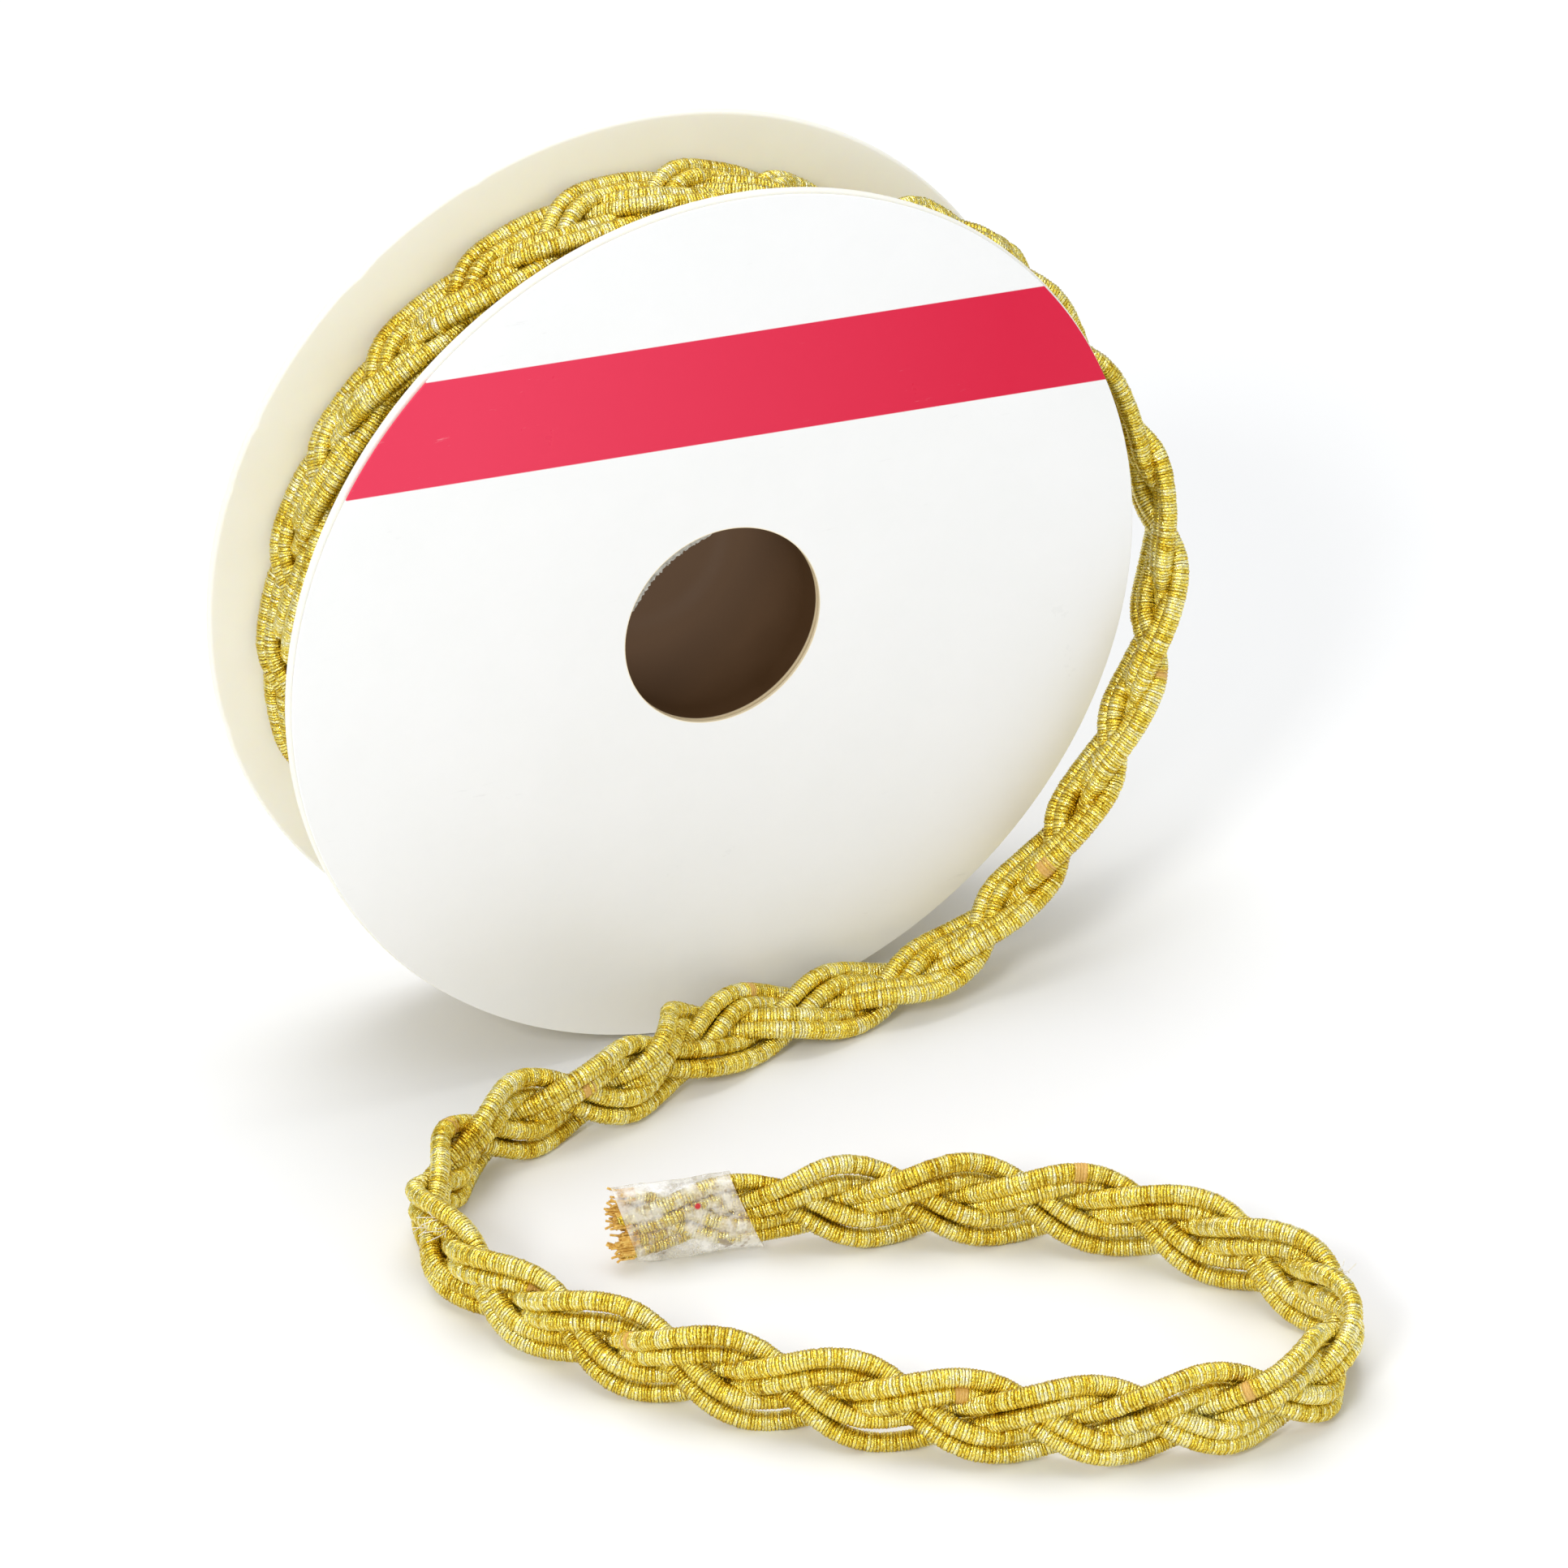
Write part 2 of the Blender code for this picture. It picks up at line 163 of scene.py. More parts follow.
# %% Camera
BACKWARD = Vector((-0.38295, -0.77257, 0.50645)).normalized()
RIGHT = Vector((0.89597, -0.44412, 0.0)).normalized()
UP = BACKWARD.cross(RIGHT)
camera_data = bpy.data.cameras.new("camera")
camera_data.lens = 167.7
camera_data.sensor_width = 36.0
camera_data.clip_end = 20.0
camera = bpy.data.objects.new("camera", camera_data)
bpy.context.scene.collection.objects.link(camera)
turn = Matrix((RIGHT, UP, BACKWARD)).transposed().to_4x4()
camera.matrix_world = Matrix.Translation((-0.30218, -0.63638, 0.43826)) @ turn
scene = bpy.context.scene
scene.camera = camera
print("camera at", [round(v, 3) for v in camera.location])


# %% [markdown]
# ## Material tools
# Small helpers keep the node trees readable: each makes one kind of node and links what it is
# given, a socket or a plain value.

# %% Material tools
def new_material(name):
    material = bpy.data.materials.new(name)
    material.use_nodes = True
    return material, material.node_tree, material.node_tree.nodes["Principled BSDF"]


def put(tree, value, socket):
    if isinstance(value, bpy.types.NodeSocket):
        tree.links.new(value, socket)
    else:
        socket.default_value = value


def math(tree, operation, a, b=0.0):
    made = tree.nodes.new("ShaderNodeMath")
    made.operation = operation
    put(tree, a, made.inputs[0])
    put(tree, b, made.inputs[1])
    return made.outputs[0]


def noise(tree, vector, scale, detail=3.0, rough=0.55):
    made = tree.nodes.new("ShaderNodeTexNoise")
    put(tree, vector, made.inputs["Vector"])
    made.inputs["Scale"].default_value = scale
    made.inputs["Detail"].default_value = detail
    made.inputs["Roughness"].default_value = rough
    return made.outputs["Fac"]


def white_noise(tree, value):
    made = tree.nodes.new("ShaderNodeTexWhiteNoise")
    made.noise_dimensions = "1D"
    put(tree, value, made.inputs["W"])
    return made.outputs["Value"]


def ramp(tree, factor, *stops):
    made = tree.nodes.new("ShaderNodeValToRGB")
    put(tree, factor, made.inputs["Fac"])
    elements = made.color_ramp.elements
    while len(elements) < len(stops):
        elements.new(0.5)
    for element, (place, colour) in zip(elements, stops):
        element.position = place
        element.color = (*colour, 1.0)
    return made.outputs["Color"]


def mix(tree, factor, a, b):
    made = tree.nodes.new("ShaderNodeMix")
    made.data_type = "RGBA"
    put(tree, factor, made.inputs[0])
    put(tree, a, made.inputs[6])
    put(tree, b, made.inputs[7])
    return made.outputs[2]


def spread(tree, value, low, high, out_low=0.0, out_high=1.0):
    made = tree.nodes.new("ShaderNodeMapRange")
    made.clamp = True
    for socket, given in zip(made.inputs, (value, low, high, out_low, out_high)):
        put(tree, given, socket)
    return made.outputs[0]


def bump(tree, shader, *layers):
    """Stacks (height, strength, distance in metres) layers into the shader's normal."""
    normal = None
    for height, strength, distance in layers:
        made = tree.nodes.new("ShaderNodeBump")
        made.inputs["Strength"].default_value = strength
        made.inputs["Distance"].default_value = distance
        put(tree, height, made.inputs["Height"])
        if normal is not None:
            tree.links.new(normal, made.inputs["Normal"])
        normal = made.outputs["Normal"]
    tree.links.new(normal, shader.inputs["Normal"])


def object_point(tree):
    return tree.nodes.new("ShaderNodeTexCoord").outputs["Object"]


def split(tree, vector):
    """The three parts of a vector, each as a socket."""
    made = tree.nodes.new("ShaderNodeSeparateXYZ")
    tree.links.new(vector, made.inputs[0])
    return made.outputs


print("material tools ready")


# %% [markdown]
# ## Gold cord material
# The cords' own map counts wraps along the cord in U, and goes round it once in V, with the
# cord's number added. Each wrap gets its own brightness and lean, so the metal glints. The
# colour carries painted glints and highlights, and painted shade in the grooves between wraps.

# %% Gold cord material
def gold_cord(name, shade=1.0):
    material, tree, shader = new_material(name)
    uv = tree.nodes.new("ShaderNodeUVMap")
    uv.uv_map = "cord"
    along, around, _ = split(tree, uv.outputs["UV"])
    cord_number = math(tree, "FLOOR", around)
    wrap = math(tree, "FLOOR", along)
    wrap_key = math(tree, "ADD", wrap, math(tree, "MULTIPLY", cord_number, 977.0))
    lot = white_noise(tree, wrap_key)
    other_lot = white_noise(tree, math(tree, "ADD", wrap_key, 0.37))
    place = math(tree, "SUBTRACT", along, wrap)
    crown = math(tree, "SINE", math(tree, "MULTIPLY", place, pi))
    stretched = tree.nodes.new("ShaderNodeCombineXYZ")
    put(tree, math(tree, "MULTIPLY", along, 1.4), stretched.inputs[0])
    put(tree, math(tree, "MULTIPLY", around, 16.0), stretched.inputs[1])
    put(tree, math(tree, "MULTIPLY", lot, 3.0), stretched.inputs[2])
    glint = noise(tree, stretched.outputs[0], 1.25, 2.0, 0.7)
    slow = noise(tree, object_point(tree), 140.0, 2.0)
    painted_glints_and_tone = math(tree, "ADD", math(tree, "MULTIPLY", glint, 0.85), math(tree, "MULTIPLY", lot, 0.22))
    painted_glints_and_tone = math(tree, "ADD", painted_glints_and_tone, math(tree, "MULTIPLY", math(tree, "SUBTRACT", slow, 0.5), 0.35))
    # Painted glints and shade: the gold's colour runs from dark brown to near white.
    gold = ramp(
        tree,
        painted_glints_and_tone,
        (0.28, (0.36 * shade, 0.18 * shade, 0.004)),
        (0.43, (0.84 * shade, 0.60 * shade, 0.040)),
        (0.56, (1.00 * shade, 0.85 * shade, 0.170)),
        (0.74, (1.00 * shade, 0.98 * shade, 0.620)),
    )
    # Painted shade: the grooves between wraps are coloured dark brown.
    groove = spread(tree, crown, 0.02, 0.45)
    gold = mix(tree, groove, (0.24 * shade, 0.105 * shade, 0.002, 1.0), gold)
    bare = tree.nodes.new("ShaderNodeAttribute")
    bare.attribute_name = "bare"
    core = mix(tree, glint, (0.62, 0.30, 0.03, 1.0), (0.95, 0.62, 0.18, 1.0))
    worn = math(tree, "ADD", bare.outputs["Fac"], math(tree, "MULTIPLY", lot, 0.55))
    bare_amount = spread(tree, worn, 0.80, 1.05)
    put(tree, mix(tree, bare_amount, gold, core), shader.inputs["Base Color"])
    put(tree, spread(tree, bare_amount, 0.0, 1.0, 1.0, 0.0), shader.inputs["Metallic"])
    put(tree, spread(tree, glint, 0.35, 0.65, 0.38, 0.15), shader.inputs["Roughness"])
    lean = math(tree, "MULTIPLY", math(tree, "SUBTRACT", other_lot, 0.5), place)
    bump(
        tree,
        shader,
        (crown, 0.8, 0.00009),
        (lean, 1.0, 0.00022),
        (glint, 0.9, 0.00016),
    )
    return material


gold_bright = gold_cord("gold_cord_bright")
# The wound turns' copy is a little darker, a painted shade.
gold_wound_shaded = gold_cord("gold_cord_wound_painted_shade", 0.92)
print("gold cord materials made")

# %% [markdown]
# ## Reel materials
# Ivory plastic lets a little light in. The label is glossy paper with a crimson band,
# placed by the object's own coordinates and painted lighter to the left as a painted
# reflection. The hub is card, coloured dark brown as painted shade for the deep bore; a
# faint painted glow that grows with depth stands in for light that seeps through the back flange.

# %% Reel materials
def ivory_plastic():
    material, tree, shader = new_material("ivory_plastic")
    point = object_point(tree)
    cloud = noise(tree, point, 45.0, 4.0)
    fine = noise(tree, point, 1400.0, 2.0)
    tint = ramp(tree, cloud, (0.3, (0.90, 0.87, 0.76)), (0.7, (0.94, 0.92, 0.83)))
    put(tree, tint, shader.inputs["Base Color"])
    put(tree, spread(tree, fine, 0.3, 0.7, 0.34, 0.50), shader.inputs["Roughness"])
    shader.inputs["Subsurface Weight"].default_value = 0.3
    shader.inputs["Subsurface Radius"].default_value = (1.0, 0.8, 0.5)
    shader.inputs["Subsurface Scale"].default_value = 0.003
    bump(tree, shader, (cloud, 0.12, 0.0008), (fine, 0.12, 0.00005))
    return material


# The band's edges on the axle's line, in mm above it, and how far they drop per mm of x
BAND_TOP, BAND_TOP_SLOPE = 35.23, -0.0674
BAND_LOW, BAND_LOW_SLOPE = 22.6, -0.0706
INK_EDGE = 0.12 * MM


def label_paper():
    material, tree, shader = new_material("label_paper")
    point = object_point(tree)
    x, _, z = split(tree, point)
    top = math(tree, "ADD", math(tree, "MULTIPLY", x, BAND_TOP_SLOPE), (AXLE + BAND_TOP) * MM)
    low = math(tree, "ADD", math(tree, "MULTIPLY", x, BAND_LOW_SLOPE), (AXLE + BAND_LOW) * MM)
    below_top = spread(tree, math(tree, "SUBTRACT", top, z), 0.0, INK_EDGE)
    above_bottom = spread(tree, math(tree, "SUBTRACT", z, low), 0.0, INK_EDGE)
    band = math(tree, "MULTIPLY", below_top, above_bottom)
    grain = noise(tree, point, 900.0, 3.0)
    scuff = noise(tree, point, 60.0, 6.0, 0.7)
    streaks = tree.nodes.new("ShaderNodeMapping")
    streaks.inputs["Rotation"].default_value = (0.0, radians(4.0), 0.0)
    streaks.inputs["Scale"].default_value = (0.12, 1.0, 1.0)
    tree.links.new(point, streaks.inputs["Vector"])
    scratch = spread(tree, noise(tree, streaks.outputs[0], 1500.0, 4.0, 0.75), 0.66, 0.72)
    scratch = math(tree, "MULTIPLY", scratch, spread(tree, noise(tree, point, 35.0), 0.50, 0.62))
    # Painted reflection: the crimson band is coloured lighter on the left than on the right.
    across = spread(tree, x, -0.030, 0.035)
    crimson = ramp(tree, across, (0.0, (0.82, 0.040, 0.098)), (1.0, (0.72, 0.003, 0.045)))
    crimson = mix(tree, math(tree, "MULTIPLY", scratch, 0.35), crimson, (0.95, 0.45, 0.5, 1.0))
    white = ramp(tree, scuff, (0.35, (0.925, 0.928, 0.915)), (0.65, (0.945, 0.945, 0.935)))
    white = mix(tree, math(tree, "MULTIPLY", scratch, 0.30), white, (0.70, 0.70, 0.69, 1.0))
    face = mix(tree, band, white, crimson)
    height = math(tree, "SUBTRACT", z, AXLE * MM)
    reach = math(tree, "ADD", math(tree, "POWER", x, 2.0), math(tree, "POWER", height, 2.0))
    cut = BORE_RADIUS + 0.05
    hole_edge = spread(tree, math(tree, "SQRT", reach), cut * MM, (BORE_RADIUS + 0.12) * MM)
    put(tree, mix(tree, hole_edge, (0.93, 0.80, 0.55, 1.0), face), shader.inputs["Base Color"])
    put(tree, spread(tree, scuff, 0.3, 0.7, 0.26, 0.40), shader.inputs["Roughness"])
    shader.inputs["Specular IOR Level"].default_value = 0.25
    bump(tree, shader, (scuff, 0.10, 0.0003), (grain, 0.06, 0.00003), (scratch, 0.3, 0.00003))
    return material


def brown_card_painted_shade():
    material, tree, shader = new_material("brown_card_painted_shade")
    point = object_point(tree)
    cloud = noise(tree, point, 120.0, 5.0, 0.6)
    _, y, _ = split(tree, point)
    depth = spread(tree, y, HUB_FRONT * MM, HUB_WALL * MM)
    # Painted shade: the card is coloured a very dark brown for the deep, shaded bore.
    tint = ramp(tree, cloud, (0.3, (0.050, 0.024, 0.009)), (0.7, (0.068, 0.034, 0.014)))
    front_edge = spread(tree, y, (HUB_FRONT + 0.25) * MM, (HUB_FRONT + 0.4) * MM)
    put(tree, mix(tree, front_edge, (0.80, 0.66, 0.42, 1.0), tint), shader.inputs["Base Color"])
    put(tree, spread(tree, cloud, 0.3, 0.7, 0.40, 0.58), shader.inputs["Roughness"])
    shader.inputs["Specular IOR Level"].default_value = 0.3
    # A painted glow, growing with depth, brightens the bore towards its closed end.
    painted_glow = ramp(tree, depth, (0.15, (0.012, 0.006, 0.002)), (0.9, (0.085, 0.052, 0.031)))
    put(tree, painted_glow, shader.inputs["Emission Color"])
    shader.inputs["Emission Strength"].default_value = 1.0
    bump(tree, shader, (noise(tree, point, 1800.0, 3.0), 0.15, 0.00006))
    return material


def torn_paper():
    material, tree, shader = new_material("torn_paper")
    fibre = noise(tree, object_point(tree), 2600.0, 4.0, 0.7)
    tint = ramp(tree, fibre, (0.3, (0.22, 0.20, 0.16)), (0.65, (0.55, 0.53, 0.47)))
    put(tree, tint, shader.inputs["Base Color"])
    shader.inputs["Roughness"].default_value = 0.9
    bump(tree, shader, (fibre, 0.6, 0.0001))
    return material


ivory = ivory_plastic()
label_material = label_paper()
card = brown_card_painted_shade()
paper_fibre = torn_paper()
print("reel materials made")


# %% [markdown]
# ## Spinning the reel
# Each reel piece is an outline of radius and depth spun round the axle. Points below the
# floor are raised to it, which makes the small flat that the reel stands on.

# %% Reel pieces
def to_object(name, bm, material, smooth_angle=35.0):
    bmesh.ops.recalc_face_normals(bm, faces=bm.faces)
    mesh = bpy.data.meshes.new(name)
    bm.to_mesh(mesh)
    bm.free()
    mesh.shade_smooth()
    mesh.set_sharp_from_angle(angle=radians(smooth_angle))
    mesh.materials.append(material)
    obj = bpy.data.objects.new(name, mesh)
    bpy.context.scene.collection.objects.link(obj)
    return obj


def spun(name, outline, closed, material, steps=240, foot=True):
    bm = bmesh.new()
    verts = [bm.verts.new((0.0, y * MM, (AXLE - r) * MM)) for r, y in outline]
    edges = [bm.edges.new(pair) for pair in zip(verts, verts[1:])]
    if closed:
        edges.append(bm.edges.new((verts[-1], verts[0])))
    bmesh.ops.spin(
        bm,
        geom=verts + edges,
        cent=(0.0, 0.0, AXLE * MM),
        axis=(0.0, 1.0, 0.0),
        angle=2 * pi,
        steps=steps,
        use_merge=True,
    )
    bmesh.ops.remove_doubles(bm, verts=bm.verts, dist=1e-6)
    if foot:
        for v in bm.verts:
            v.co.z = max(v.co.z, 0.0)
    return to_object(name, bm, material)


def rim(outer, inner, low, high, ease):
    """Outline with the rim's two edges rounded in three steps."""
    points = [(inner, low)]
    for k in range(4):
        a = pi / 2 * k / 3
        points.append((outer - ease + ease * sin(a), low + ease - ease * cos(a)))
    for k in range(4):
        a = pi / 2 * k / 3
        points.append((outer - ease + ease * cos(a), high - ease + ease * sin(a)))
    points.append((inner, high))
    return points


back_outline = rim(REEL_RADIUS, 0.0, *BACK_FLANGE, RIM_EASE)
back_flange = spun("back_flange", back_outline, False, ivory)
front_outline = rim(REEL_RADIUS, FLANGE_HOLE, *FRONT_FLANGE, RIM_EASE)
front_flange = spun("front_flange", front_outline, True, ivory)
label_outline = rim(LABEL_RADIUS, BORE_RADIUS, LABEL_FACE, LABEL_BACK, LABEL_EASE)
label = spun("front_label", label_outline, True, label_material, 300)

CORNER, CORNER_STEPS = 3.2, 8
hub_outline = [(0.0, HUB_WALL)]
for k in range(CORNER_STEPS + 1):
    a = pi / 2 * k / CORNER_STEPS
    r = BORE_RADIUS - CORNER + CORNER * sin(a)
    hub_outline.append((r, HUB_WALL - CORNER + CORNER * cos(a)))
hub_outline += [
    (BORE_RADIUS, HUB_FRONT),
    (HUB_RADIUS, HUB_FRONT),
    (HUB_RADIUS, HUB_BACK),
    (0.0, HUB_BACK),
]
hub = spun("hub_tube", hub_outline, False, card, 160, foot=False)
for piece, node, kind in (
    (back_flange, "flange_back", "flange_plastic"),
    (front_flange, "flange_front", "flange_plastic"),
    (label, "label_front", "label_paper"),
    (hub, "hub", "hub_card"),
):
    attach(piece, "root")
    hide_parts(node)
print("reel pieces:", back_flange.name, front_flange.name, label.name, hub.name)

# %% [markdown]
# The back flange's rim has a few small chips, and the label's hole was punched roughly: a
# narrow strip of torn paper hangs on its upper left edge.

# %% Chips and torn edge
# Each chip: its angle from the top, half its length in degrees, and its depth in mm
CHIPS = (
    (-62.0, 1.0, 0.5),
    (-71.0, 0.7, 0.35),
    (-39.0, 2.6, 0.3),
    (-103.0, 0.8, 0.35),
    (-21.0, 1.2, 0.2),
)
for v in back_flange.data.vertices:
    x, z = v.co.x / MM, v.co.z / MM - AXLE
    r = sqrt(x * x + z * z)
    if r < REEL_RADIUS - 1.0:
        continue
    angle = np.degrees(np.arctan2(x, z))
    for place, spread_deg, deep in CHIPS:
        near = max(0.0, 1.0 - abs(angle - place) / spread_deg)
        if near > 0.0 and z > -50.0:
            scale = (r - deep * near) / r
            v.co.x *= scale
            v.co.z = (AXLE + z * scale) * MM

TORN_STEPS = 79
bm = bmesh.new()
outer, inner = [], []
for i in range(TORN_STEPS + 1):
    a = radians(-68.0 + 62.0 * i / TORN_STEPS)
    ragged = 0.15 + 0.60 * sin(pi * i / TORN_STEPS) ** 0.5 * rng.uniform(0.5, 1.0)
    curl = rng.uniform(-0.06, 0.06)
    edges = ((outer, BORE_RADIUS + 0.02, -11.78), (inner, BORE_RADIUS - ragged, -11.72 + curl))
    for ring, r, y in edges:
        ring.append(bm.verts.new((r * sin(a) * MM, y * MM, (AXLE + r * cos(a)) * MM)))
for i in range(TORN_STEPS):
    bm.faces.new((outer[i], outer[i + 1], inner[i + 1], inner[i]))
torn_rim = to_object("label_torn_rim", bm, paper_fibre)
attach(torn_rim, "root")
print("chips:", len(CHIPS), "torn strip verts:", len(torn_rim.data.vertices))


# %% [markdown]
# ## The plait
# Three pairs of cords swing from side to side, a third of a period apart, and rise and fall
# twice as often, so that each passes over one neighbour and under the other.

# %% Plait
SIDES = 9
SQUARE = ((0, 0), (0, 1), (1, 1), (1, 0))


def smooth_step(x, start, end):
    t = np.clip((x - start) / (end - start), 0.0, 1.0)
    return t * t * (3.0 - 2.0 * t)


def plait_cord(line, k, side, share, flat, stray, press, splay=0.0):
    """Centreline of one cord of the plait along a line (phase, centre, tangent, width, out).

    share and flat scale its width and height, stray is how far cords wander, press squares
    the swing off and splay opens a pair at the edge.
    """
    phase, centre, tangent, width, out = line
    phase = phase + 2 * pi * k / 3
    slope = SWING * 2 * pi / PERIOD * np.cos(phase)
    lean = 1.0 / np.sqrt(1.0 + slope**2)
    own = 0.7 * k + 1.9 * side
    swing = np.sin(phase)
    pressed = np.tanh(1.7 * swing) / np.tanh(1.7)
    across = SWING * (swing * (1.0 - press) + pressed * press) + side * PAIR_OFFSET * lean
    crest = np.clip(side * swing, 0.0, 1.0) ** 2
    across = across + side * splay * crest * (0.5 + 0.5 * np.sin(0.43 * phase + 2.3 * own))
    across = across + stray * np.sin(0.61 * phase + own)
    lift = RISE * np.sin(2 * phase) * (1.0 - 0.85 * press * swing**2)
    lift = lift + stray * np.sin(0.83 * phase + 2.0 * own)
    ahead = -side * PAIR_OFFSET * lean * slope
    point = centre + width * (across * share)[:, None] + out * (lift * flat)[:, None]
    return point + tangent * ahead[:, None]


def lengths_along(points):
    return np.concatenate([[0.0], np.cumsum(np.linalg.norm(np.diff(points, axis=0), axis=1))])


def unit(vectors):
    return vectors / np.linalg.norm(vectors, axis=1)[:, None]


def square_to(vectors, tangent):
    """The vectors turned square to the tangents, at unit length."""
    return unit(vectors - tangent * np.sum(vectors * tangent, axis=1)[:, None])


def wrapped_tube(points, outs, radius, first_wrap, bare=()):
    """A cord's rings: two to each wrap of thread, one on its crown and one in the groove."""
    lengths = lengths_along(points)
    count = int(lengths[-1] / (WRAP_PITCH / 2))
    places = np.linspace(0.0, lengths[-1], count)
    centre = np.stack([np.interp(places, lengths, points[:, c]) for c in range(3)], 1)
    out = np.stack([np.interp(places, lengths, outs[:, c]) for c in range(3)], 1)
    size = np.interp(places, lengths, radius) if np.ndim(radius) else np.full(count, radius)
    tangent = unit(np.gradient(centre, axis=0))
    out = square_to(out, tangent)
    beside = np.cross(tangent, out)
    wraps = np.arange(count) // 2
    each = rng.normal(0.0, 1.0, wraps[-1] + 1)[wraps]
    size = size * (1.0 + np.where(np.arange(count) % 2, 0.04, -0.05) + 0.02 * each)
    lean_a = rng.normal(0.0, 0.035, wraps[-1] + 1)[wraps]
    lean_b = rng.normal(0.0, 0.035, wraps[-1] + 1)[wraps]
    angles = 2 * pi * np.arange(SIDES) / SIDES
    ca, sa = np.cos(angles)[None, :], np.sin(angles)[None, :]
    spokes = ca[:, :, None] * out[:, None, :] + sa[:, :, None] * beside[:, None, :]
    ring = centre[:, None, :] + size[:, None, None] * spokes
    shift = lean_a[:, None] * ca + lean_b[:, None] * sa
    ring = ring + shift[:, :, None] * tangent[:, None, :]
    amount = np.zeros(count)
    for start, length in bare:
        amount = np.maximum(amount, np.clip(1.0 - np.abs(places - start) / length, 0.0, 1.0))
    return ring, first_wrap + np.arange(count) / 2.0, amount


def cords_object(name, tubes, material):
    """One mesh of several wrapped tubes, with the cord map and the bare-core amount."""
    verts, faces, uvs, bare = [], [], [], []
    offset = 0
    for number, (ring, wraps, amount) in enumerate(tubes):
        n, sides, _ = ring.shape
        verts.append(ring.reshape(-1, 3))
        i, j = np.meshgrid(np.arange(n - 1), np.arange(sides), indexing="ij")
        quad = []
        uv = []
        for di, dj in SQUARE:
            quad.append(offset + (i + di) * sides + (j + dj) % sides)
            uv.append(np.stack([wraps[i + di], number + 0.999 * (j + dj) / sides], -1))
        faces.append(np.stack(quad, -1).reshape(-1, 4))
        uvs.append(np.stack(uv, -2).reshape(-1, 2))
        bare.append(np.repeat(amount, sides))
        offset += n * sides
    verts = np.concatenate(verts) * MM
    faces = np.concatenate(faces)
    uvs = np.concatenate(uvs)
    mesh = bpy.data.meshes.new(name)
    mesh.from_pydata(verts.tolist(), [], faces.tolist())
    layer = mesh.uv_layers.new(name="cord")
    layer.data.foreach_set("uv", uvs.astype(np.float32).ravel())
    attribute = mesh.attributes.new("bare", "FLOAT", "POINT")
    attribute.data.foreach_set("value", np.concatenate(bare).astype(np.float32))
    mesh.shade_smooth()
    mesh.materials.append(material)
    obj = bpy.data.objects.new(name, mesh)
    bpy.context.scene.collection.objects.link(obj)
    return obj


print("plait tools ready")


# %% [markdown]
# ## Loose end
# The curve through the route's points is sampled closely. Its width direction turns from
# level, across the reel, to upright on the surface.

# %% Loose end line
LINE_STEP = 0.2


def route_line():
    table = np.array(ROUTE)
    padded = np.vstack([table[0], table, table[-1]])
    rows = []
    for i in range(len(table) - 1):
        a, b, c, d = padded[i : i + 4]
        t = np.linspace(0.0, 1.0, 60, endpoint=False)[:, None]
        rows.append(
            0.5
            * (
                2 * b
                + (c - a) * t
                + (2 * a - 5 * b + 4 * c - d) * t**2
                + (3 * b - a - 3 * c + d) * t**3
            )
        )
    rows.append(table[-1:])
    dense = np.concatenate(rows)
    lengths = lengths_along(dense[:, :3])
    s = np.arange(0.0, lengths[-1], LINE_STEP)
    even = np.stack([np.interp(s, lengths, dense[:, c]) for c in range(6)], 1)
    centre, width = even[:, :3], even[:, 3:]
    tangent = unit(np.gradient(centre, axis=0))
    width = square_to(width, tangent)
    return s, centre, tangent, width, np.cross(tangent, width)


s, centre, tangent, width, out = route_line()
total = s[-1]
loose_line = (2 * pi * s / PERIOD, centre, tangent, width, out)
print(f"loose end: {total:.0f} mm along its middle")

# %% [markdown]
# The braid is pulled narrow and dense where it hangs off the reel, opens up on the surface,
# and is bound flat under the tape.

# %% Loose end widths
taped = smooth_step(s, total - TAPE_LENGTH - 9.0, total - TAPE_LENGTH - 1.0)
hangs, lies = smooth_step(s, 20.0, 45.0), smooth_step(s, 120.0, 165.0)
share = TIGHT_SHARE - 0.13 * hangs + 0.20 * lies
share = share + (0.80 - share) * taped
splay = 0.55 * lies * (1.0 - taped)
press = 0.55 * (1.0 - smooth_step(s, 110.0, 150.0))
flat = 1.0 - 0.25 * taped
STRAY = 0.14
print(f"width shares from {share.min():.2f} to {share.max():.2f}")

# %% [markdown]
# Each strand is one piece of two cords. Where the thread has slipped, a few millimetres of
# the amber core show.

# %% Loose end strands
# For each cord, by strand and side: where the core shows, in mm, and over what half length
BARE_SPOTS = {
    (0, -1): ((118.0, 2.2), (301.0, 1.8), (376.0, 2.6)),
    (0, 1): ((214.0, 1.6), (336.0, 1.5)),
    (1, -1): ((92.0, 1.8), (247.0, 2.4)),
    (1, 1): ((161.0, 1.6), (352.0, 2.2)),
    (2, -1): ((190.0, 1.5), (318.0, 2.0)),
    (2, 1): ((140.0, 1.8), (262.0, 1.6), (395.0, 2.0)),
}
strands = []
for k in range(3):
    tubes = []
    for side in (-1, 1):
        points = plait_cord(loose_line, k, side, share, flat, STRAY, press, splay)
        radius = CORD_RADIUS * (1.0 + 0.03 * press - 0.16 * taped)
        tubes.append(wrapped_tube(points, out, radius, 300.0 * k, BARE_SPOTS[(k, side)]))
    strands.append(cords_object(f"loose_strand_{k + 1}", tubes, gold_bright))
for strand in strands:
    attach(strand, "root")
    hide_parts("loose_end")
print("loose strands:", [len(o.data.polygons) * 2 for o in strands], "triangles")


# %% [markdown]
# ## Wound turns
# The two lanes that show are the same plait bent round the reel. The lane in front loses a
# turn where the loose end lifts away, and the next turn down shows under it.

# %% Wound turns
MEAN_RADIUS = 43.0
WOUND_STEP = 0.25
COVERED_RISE = 2.2


